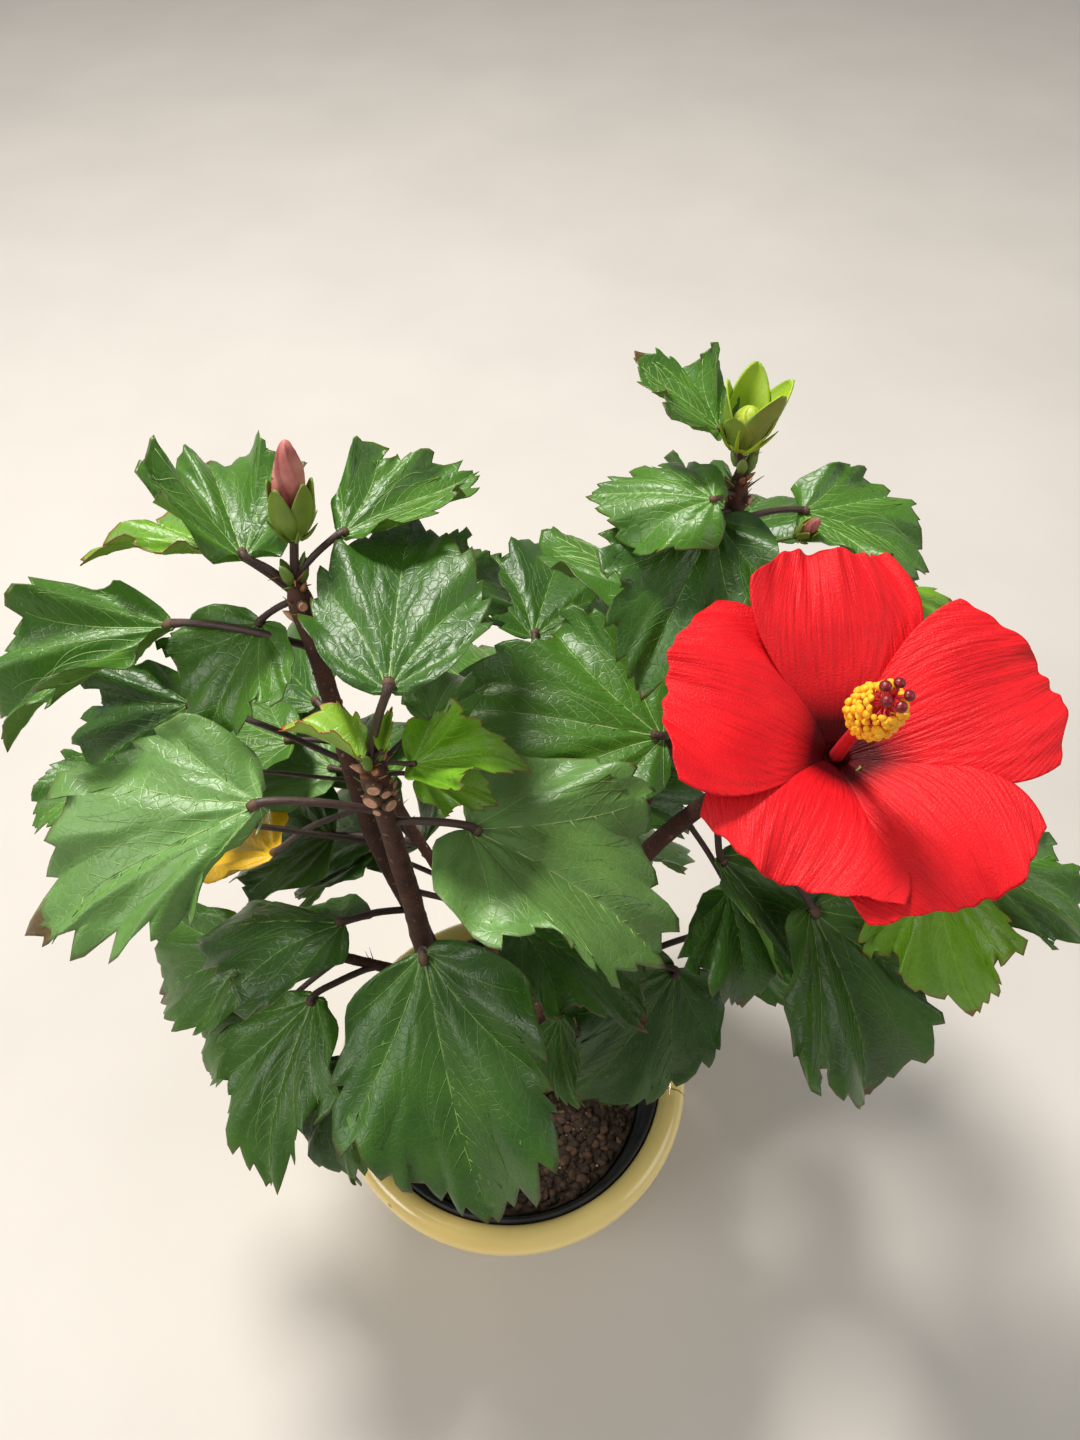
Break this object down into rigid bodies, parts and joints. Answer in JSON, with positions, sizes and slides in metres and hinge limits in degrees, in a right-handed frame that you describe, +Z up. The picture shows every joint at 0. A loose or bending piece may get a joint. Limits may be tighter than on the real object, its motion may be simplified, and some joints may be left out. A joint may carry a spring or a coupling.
{
  "type": "potted hibiscus shrub",
  "caption": "Leafy potted hibiscus shrub with lobed green leaves, one open red bloom and closed buds, in a black grower pot inside a pale yellow rimmed pot.",
  "frame": {"origin": "centre of the pale yellow pot's flat underside", "axes": "+Z up along the pot's axis; -Y towards the side that shows in the picture; +X towards the open bloom"},
  "size_m": [0.3833, 0.2753, 0.4185],
  "materials": {
    "glaze": "gloss",
    "black_plastic": "satin",
    "compost": "matte",
    "bark": "matte",
    "leaf": "satin",
    "petal": "satin"
  },
  "bodies": {
    "root": {"pot": "glaze", "grower_pot": "black_plastic", "soil": "compost", "trunk": "bark", "bough_front": "bark", "bough_left": "bark", "bough_right": "bark", "bough_back_right": "bark", "bough_low_left": "bark", "bough_low_right": "bark", "bough_back": "bark", "bough_back_left": "bark", "foliage_front": "leaf", "foliage_left": "leaf", "foliage_right": "leaf", "foliage_back_right": "leaf", "foliage_low_left": "leaf", "foliage_low_right": "leaf", "foliage_back": "leaf", "foliage_back_left": "leaf", "bloom": "petal"}
  },
  "joints": []
}
